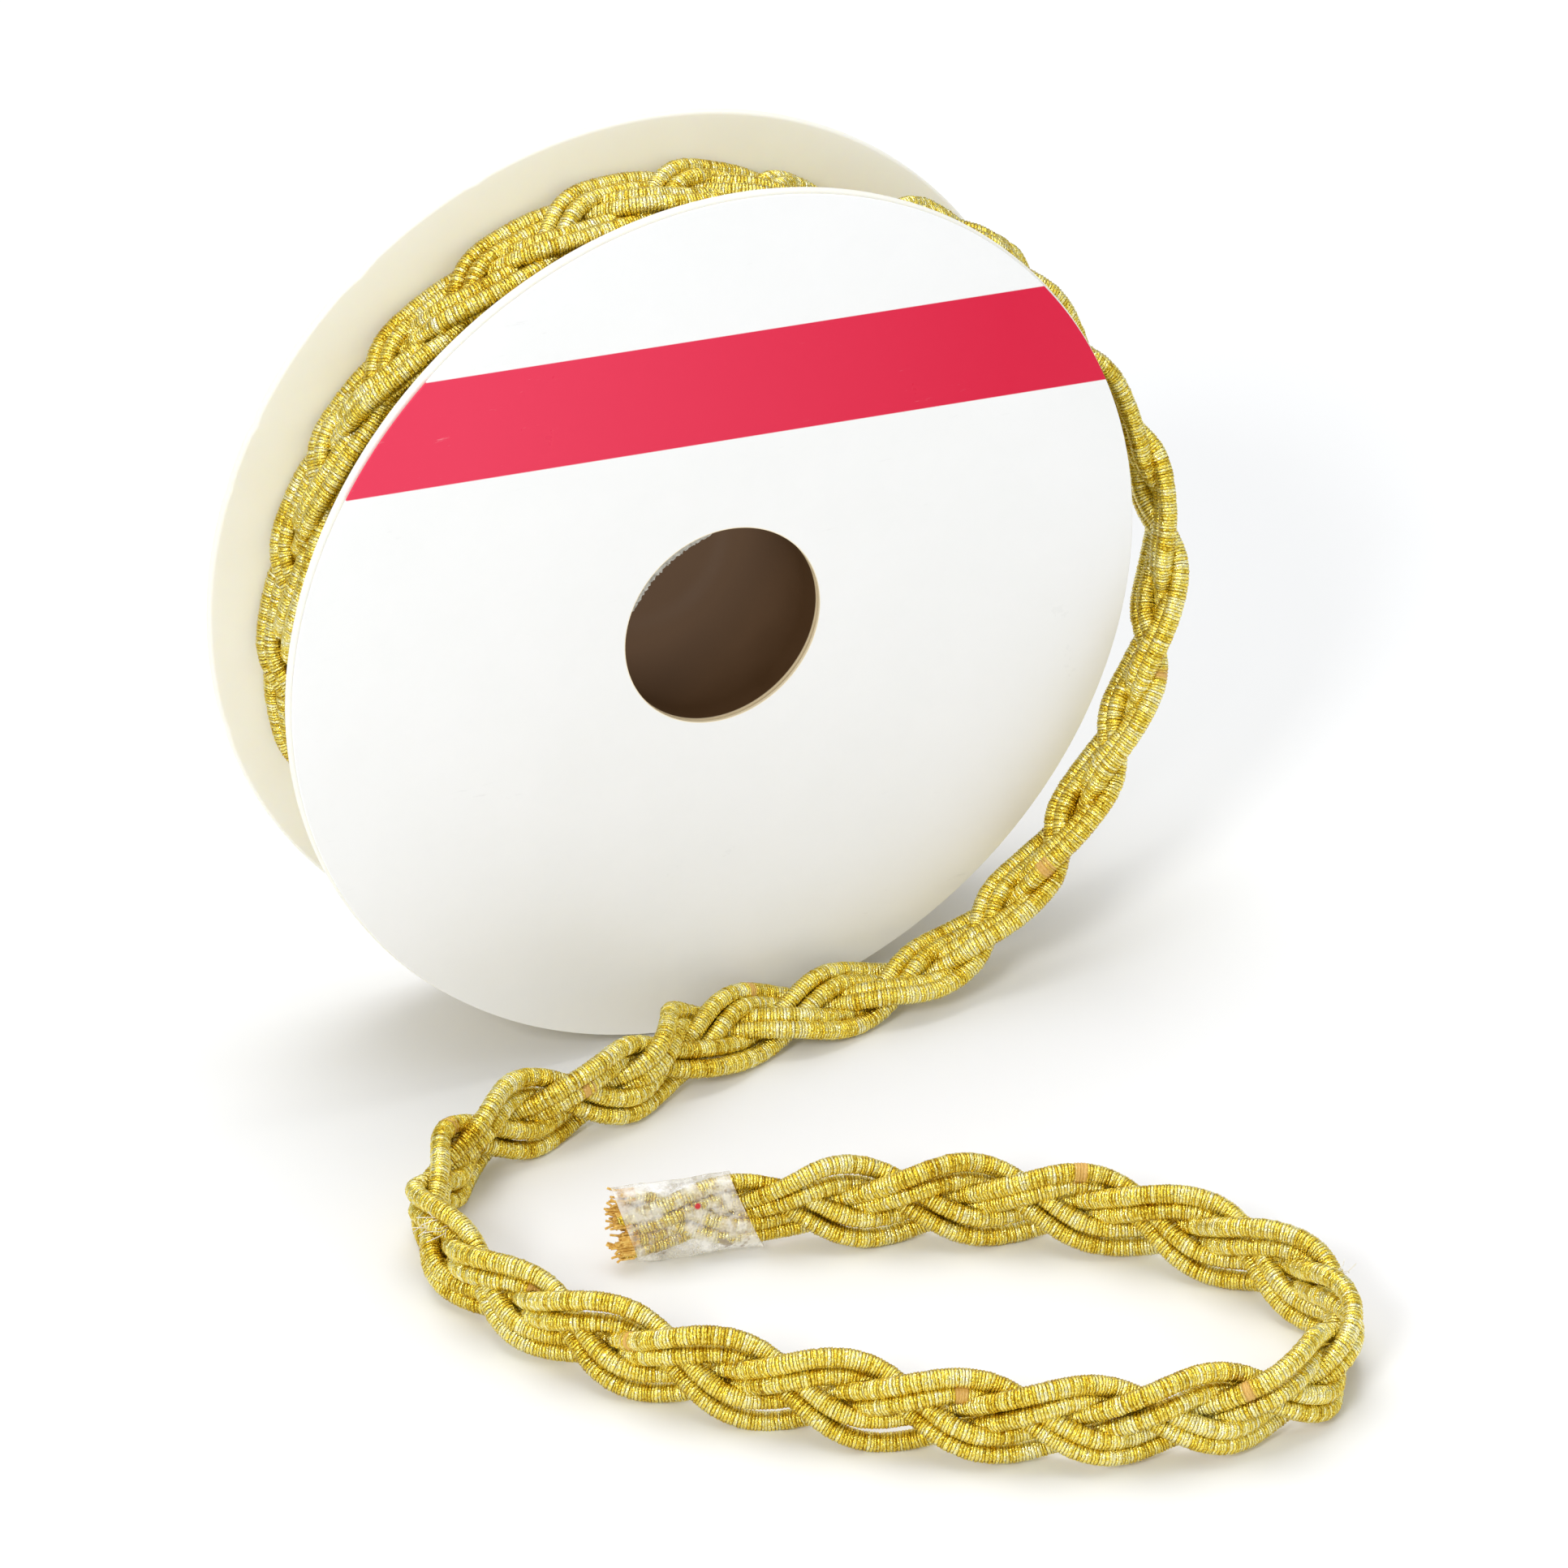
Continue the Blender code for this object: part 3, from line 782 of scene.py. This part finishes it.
def wound_line(start, end, radius, y, phase_at_zero):
    """A lane's line from one angle to another, in degrees from the top, clockwise."""
    count = int(radians(end - start) * MEAN_RADIUS / WOUND_STEP)
    angle = np.radians(np.linspace(start, end, count))
    wave = 0.3 * (np.sin(3 * angle + 0.7) + 0.6 * np.sin(7 * angle + 2.1))
    r = radius(np.degrees(angle)) + wave
    sway = 0.16 * np.sin(5 * angle + 1.3 + y)
    tilt = 0.13 * np.sin(4 * angle + 0.4 * y)
    radial = np.stack([np.sin(angle), 0 * angle, np.cos(angle)], 1)
    centre = radial * r[:, None] + np.array([0.0, 0.0, AXLE])
    centre[:, 1] = y + sway
    tangent = unit(np.gradient(centre, axis=0))
    width = np.array([0.0, 1.0, 0.0]) * np.cos(tilt)[:, None] + radial * np.sin(tilt)[:, None]
    width = square_to(width, tangent)
    phase = phase_at_zero + angle * PHASE_PER_RADIAN
    return phase, centre, tangent, width, np.cross(tangent, width)


def outer_radius(angle):
    return np.full_like(angle, WOUND_RADIUS + 0.8)


def covered_radius(angle):
    rise = COVERED_RISE * smooth_step(angle, COVER_ANGLE, COVER_ANGLE + 40.0)
    rest = WOUND_RADIUS - UNDER_RADIUS - COVERED_RISE
    return UNDER_RADIUS + rise + rest * smooth_step(angle, -35.0, 8.0)


def under_radius(angle):
    return np.full_like(angle, UNDER_RADIUS)


def deep_radius(angle):
    return np.full_like(angle, WOUND_RADIUS - 1.0)


front_phase = -radians(12.7) * PHASE_PER_RADIAN
lanes = {
    "wound_back_lane": wound_line(-180.0, 180.0, outer_radius, 5.3, 1.9),
    "wound_front_lane": wound_line(COVER_ANGLE, LIFT_ANGLE, covered_radius, -4.75, front_phase),
    "wound_lower_lane": wound_line(LIFT_ANGLE - 6.0, 200.0, under_radius, -4.7, 0.6),
    "wound_deep_lane": wound_line(-125.0, 60.0, deep_radius, 5.5, 3.6),
}
WOUND_FLAT, WOUND_STRAY, WOUND_PRESS = 0.85, 0.22, 0.8
wound = []
for name, line in lanes.items():
    for k in range(3):
        tubes = []
        for side in (-1, 1):
            points = plait_cord(
                line, k, side, TIGHT_SHARE, WOUND_FLAT, WOUND_STRAY, WOUND_PRESS
            )
            tubes.append(wrapped_tube(points, line[4], CORD_RADIUS, 500.0 * k))
        wound.append(cords_object(f"{name}_{k + 1}", tubes, gold_wound_shaded))
print("wound pieces:", [len(o.data.polygons) * 2 for o in wound], "triangles")

# %% [markdown]
# The turns below are hidden but for glimpses between the cords, so they are one ring with the
# ribs of cords on it.

# %% Turns below
RING_STEPS, RING_ACROSS = 480, 60
RIB_WIDTH, RIB_HEIGHT = 2.05, 0.55
RING_BELOW = 2.35
RING_INNER = 14.0


def under_ring():
    steps, across = RING_STEPS, RING_ACROSS
    angle = np.linspace(-180.0, 180.0, steps, endpoint=False)
    a = np.radians(angle)
    y = np.linspace(WOUND_FRONT, WOUND_BACK, across)
    covered = (angle > COVER_ANGLE) & (angle < LIFT_ANGLE)
    front = np.where(covered, covered_radius(angle), UNDER_RADIUS)
    blend = 1.0 / (1.0 + np.exp(-(y - 0.3) * 3.0))
    base = front[:, None] * (1 - blend)[None, :] + WOUND_RADIUS * blend[None, :] - RING_BELOW
    wander = 0.35 * np.sin(5 * a)[:, None]
    rib = RIB_HEIGHT * np.abs(np.sin(pi * (y[None, :] / RIB_WIDTH + wander)))
    r = base + rib
    verts = [
        (r[i, j] * sin(a[i]) * MM, y[j] * MM, (AXLE + r[i, j] * cos(a[i])) * MM)
        for i in range(steps)
        for j in range(across)
    ]
    for edge_y in (WOUND_BACK, WOUND_FRONT):
        for t in a:
            z = AXLE + RING_INNER * cos(t)
            verts.append((RING_INNER * sin(t) * MM, edge_y * MM, z * MM))
    faces = []
    grid = steps * across
    for i in range(steps):
        n = (i + 1) % steps
        for j in range(across - 1):
            faces.append((i * across + j, i * across + j + 1, n * across + j + 1, n * across + j))
        last = across - 1
        faces.append((i * across + last, grid + i, grid + n, n * across + last))
        faces.append((grid + i, grid + steps + i, grid + steps + n, grid + n))
        faces.append((grid + steps + i, i * across, n * across, grid + steps + n))
    mesh = bpy.data.meshes.new("wound_under_turns")
    mesh.from_pydata(verts, [], faces)
    layer = mesh.uv_layers.new(name="cord")
    for loop in mesh.loops:
        v = mesh.vertices[loop.vertex_index].co
        turn_angle = np.arctan2(v.x, v.z - AXLE * MM)
        wraps = turn_angle * MEAN_RADIUS / WRAP_PITCH
        layer.data[loop.index].uv = (wraps, v.y / (RIB_WIDTH * MM) + 20.0)
    mesh.shade_smooth()
    mesh.materials.append(gold_wound_shaded)
    obj = bpy.data.objects.new("wound_under_turns", mesh)
    bpy.context.scene.collection.objects.link(obj)
    return obj


wound.append(under_ring())
for piece in wound:
    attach(piece, "root")
    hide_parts("wound_braid")
print("under ring:", len(wound[-1].data.polygons), "faces")

# %% [markdown]
# ## Tape and cut end
# Cloudy clear tape binds the last stretch. Amber core yarns stick out a little at the cut.

# %% Tape
def near_point(tree, point, place, low, high):
    """1 inside a small ball round a place (mm), fading to 0 at its edge."""
    made = tree.nodes.new("ShaderNodeVectorMath")
    made.operation = "DISTANCE"
    tree.links.new(point, made.inputs[0])
    made.inputs[1].default_value = [c * MM for c in place]
    return spread(tree, made.outputs["Value"], low * MM, high * MM, 1.0, 0.0)


def tape_film():
    material, tree, shader = new_material("tape_film")
    point = object_point(tree)
    cloud = noise(tree, point, 420.0, 4.0, 0.65)
    crease = noise(tree, point, 1500.0, 2.0)
    milk = mix(tree, crease, (0.93, 0.92, 0.86, 1.0), (0.97, 0.96, 0.93, 1.0))
    grime = spread(tree, noise(tree, point, 520.0, 3.0, 0.6), 0.60, 0.68)
    tint = mix(tree, math(tree, "MULTIPLY", grime, 0.75), milk, (0.20, 0.11, 0.04, 1.0))
    speck = near_point(tree, point, SPECK, 0.30, 0.45)
    put(tree, mix(tree, speck, tint, (0.65, 0.03, 0.05, 1.0)), shader.inputs["Base Color"])
    put(tree, spread(tree, crease, 0.3, 0.7, 0.14, 0.30), shader.inputs["Roughness"])
    clear = spread(tree, cloud, 0.42, 0.60, 0.12, 0.72)
    marks = math(tree, "MAXIMUM", speck, math(tree, "MULTIPLY", grime, 0.7))
    put(tree, math(tree, "MAXIMUM", clear, marks), shader.inputs["Alpha"])
    shader.inputs["Coat Weight"].default_value = 0.6
    shader.inputs["Coat Roughness"].default_value = 0.1
    bump(tree, shader, (cloud, 0.5, 0.0004), (crease, 0.3, 0.0001))
    return material


TAPE_HALF_WIDTH, TAPE_HALF_HEIGHT = 4.55, 1.95
speck_at = int(len(s) - 8.0 / LINE_STEP)
SPECK = centre[speck_at] + width[speck_at] * 2.4 - out[speck_at] * 1.9


def signed_power(value, power):
    return abs(value) ** power * (1 if value > 0 else -1)


def tape_piece():
    bm = bmesh.new()
    use = np.where(s >= total - TAPE_LENGTH)[0][::2]
    corners = 40
    rings = []
    for i in use:
        left = (s[i] - (total - TAPE_LENGTH)) / TAPE_LENGTH
        ring = []
        for q in range(corners):
            a = 2 * pi * q / corners
            x = signed_power(cos(a), 0.5) * TAPE_HALF_WIDTH
            y = signed_power(sin(a), 0.75) * TAPE_HALF_HEIGHT
            y += 0.10 * sin(9.0 * left + 1.7 * x) + 0.06 * sin(23.0 * left - 2.3 * x)
            slant = 0.36 * x * (1 - left) + 0.30 * x * left
            point = centre[i] + width[i] * x + out[i] * y + tangent[i] * slant
            ring.append(bm.verts.new(point * MM))
        rings.append(ring)
    for here, there in zip(rings, rings[1:]):
        for q in range(corners):
            n = (q + 1) % corners
            bm.faces.new((here[q], here[n], there[n], there[q]))
    return to_object("tape_band", bm, tape_film(), 60.0)


tape = tape_piece()
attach(tape, "root")
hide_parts("tape_wrap")
print("tape band:", len(tape.data.polygons), "faces")


# %% Cut yarns
def amber_yarn():
    material, tree, shader = new_material("amber_yarn")
    fibre = noise(tree, object_point(tree), 3000.0, 3.0)
    tint = ramp(tree, fibre, (0.3, (0.62, 0.30, 0.03)), (0.7, (0.98, 0.70, 0.20)))
    put(tree, tint, shader.inputs["Base Color"])
    shader.inputs["Roughness"].default_value = 0.8
    bump(tree, shader, (fibre, 0.5, 0.0001))
    return material


def thread_curves(name, paths, thick, material):
    """Thin threads as one curve object, each a short spline of given points."""
    data = bpy.data.curves.new(name, "CURVE")
    data.dimensions = "3D"
    data.bevel_depth = thick * MM
    data.bevel_resolution = 1
    data.use_fill_caps = True
    for path in paths:
        spline = data.splines.new("POLY")
        spline.points.add(len(path) - 1)
        for point, place in zip(spline.points, path):
            point.co = (*[c * MM for c in place], 1.0)
    data.materials.append(material)
    obj = bpy.data.objects.new(name, data)
    bpy.context.scene.collection.objects.link(obj)
    return obj


YARNS_PER_CORD = 34
end_t, end_w, end_o = tangent[-1], width[-1], out[-1]
yarns = []
for k in range(3):
    for side in (-1, 1):
        tip = plait_cord(loose_line, k, side, share, flat, STRAY, press, splay)[-1]
        for _ in range(YARNS_PER_CORD):
            spot_angle, off = rng.uniform(0.0, 2 * pi), 0.95 * sqrt(rng.uniform(0.0, 1.0))
            spot = tip + end_w * off * cos(spot_angle) + end_o * off * sin(spot_angle)
            reach = rng.uniform(0.2, 0.9) + (0.9 if rng.uniform() < 0.12 else 0.0)
            drift = end_w * rng.uniform(-0.35, 0.35) + end_o * rng.uniform(-0.35, 0.35)
            end = spot + end_t * reach + drift * reach
            yarns.append([spot - end_t * 1.2, spot + end_t * 0.5 * reach, end])
cut_yarns = thread_curves("cut_yarns", yarns, 0.13, amber_yarn())
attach(cut_yarns, "root")

# %% [markdown]
# A few pale threads stick out where the braid turns sharply.

# %% Stray threads
TUFTS = (
    (-50.9, -45.8, 8.8),
    (-50.6, -47.4, 7.9),
    (-50.9, -44.6, 6.6),
    (29.9, -97.0, 9.0),
    (29.6, -95.2, 3.6),
)
strays = []
for x, y, z in TUFTS:
    away = 1.0 if x > 0 else -1.0
    for _ in range(4):
        start = np.array([x, y, z]) + rng.uniform(-0.5, 0.5, 3) - np.array([1.0 * away, 0.0, 0.0])
        bend = start + np.array([1.2 * away, 0.0, 0.2]) + rng.uniform(-0.5, 0.5, 3)
        tip = bend + np.array([0.9 * away, 0.0, 0.0]) + rng.uniform(-0.8, 0.8, 3)
        strays.append([start, 0.5 * (start + bend) + rng.uniform(-0.2, 0.2, 3), bend, tip])
pale_thread, pale_tree, pale_shader = new_material("pale_thread")
pale_fibre = noise(pale_tree, object_point(pale_tree), 2500.0)
pale_tint = ramp(pale_tree, pale_fibre, (0.3, (0.72, 0.66, 0.52)), (0.7, (0.93, 0.90, 0.82)))
put(pale_tree, pale_tint, pale_shader.inputs["Base Color"])
pale_shader.inputs["Roughness"].default_value = 0.7
stray_threads = thread_curves("stray_threads", strays, 0.05, pale_thread)
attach(stray_threads, "root")

print("cut yarns:", len(yarns), "stray threads:", len(strays))

# %% [markdown]
# The free braid's full length along its middle is printed.

# %% Loose cord
print(f"cord declared, {total:.0f} mm long")

# %% [markdown]
# ## Stage and light
# A plain pale floor, a soft light over the left shoulder, a weak one from the right and a
# broad overhead panel give the even light of a catalogue picture.

# %% Stage and light
bm = bmesh.new()
bmesh.ops.create_grid(bm, x_segments=2, y_segments=2, size=6.0)
floor_material, _, floor_shader = new_material("floor_paper")
floor_shader.inputs["Base Color"].default_value = (0.90, 0.90, 0.895, 1.0)
floor_shader.inputs["Roughness"].default_value = 0.7
floor = to_object("floor", bm, floor_material)
floor.location = (0.0, 0.0, -0.0001)


def area_light(name, place, target, size, power):
    data = bpy.data.lights.new(name, "AREA")
    data.shape = "RECTANGLE"
    data.size, data.size_y = size
    data.energy = power
    light = bpy.data.objects.new(name, data)
    bpy.context.scene.collection.objects.link(light)
    light.location = place
    aim = Vector(target) - Vector(place)
    light.rotation_euler = aim.to_track_quat("-Z", "Y").to_euler()
    return light


area_light("key_light", (-1.1, -0.9, 1.0), (0.0, -0.03, 0.04), (0.40, 0.40), 11.0)
area_light("fill_light", (1.1, -0.7, 0.7), (0.0, -0.03, 0.05), (0.4, 0.4), 1.5)
area_light("top_light", (0.0, 0.3, 1.3), (0.0, 0.0, 0.0), (1.0, 1.0), 9.0)
world = bpy.data.worlds.new("studio")
world.use_nodes = True
world.node_tree.nodes["Background"].inputs["Color"].default_value = (0.95, 0.97, 1.0, 1.0)
world.node_tree.nodes["Background"].inputs["Strength"].default_value = 0.60
scene.world = world
scene.view_settings.view_transform = "Standard"
scene.view_settings.look = "None"
scene.view_settings.exposure = 0.0

bpy.context.view_layer.update()
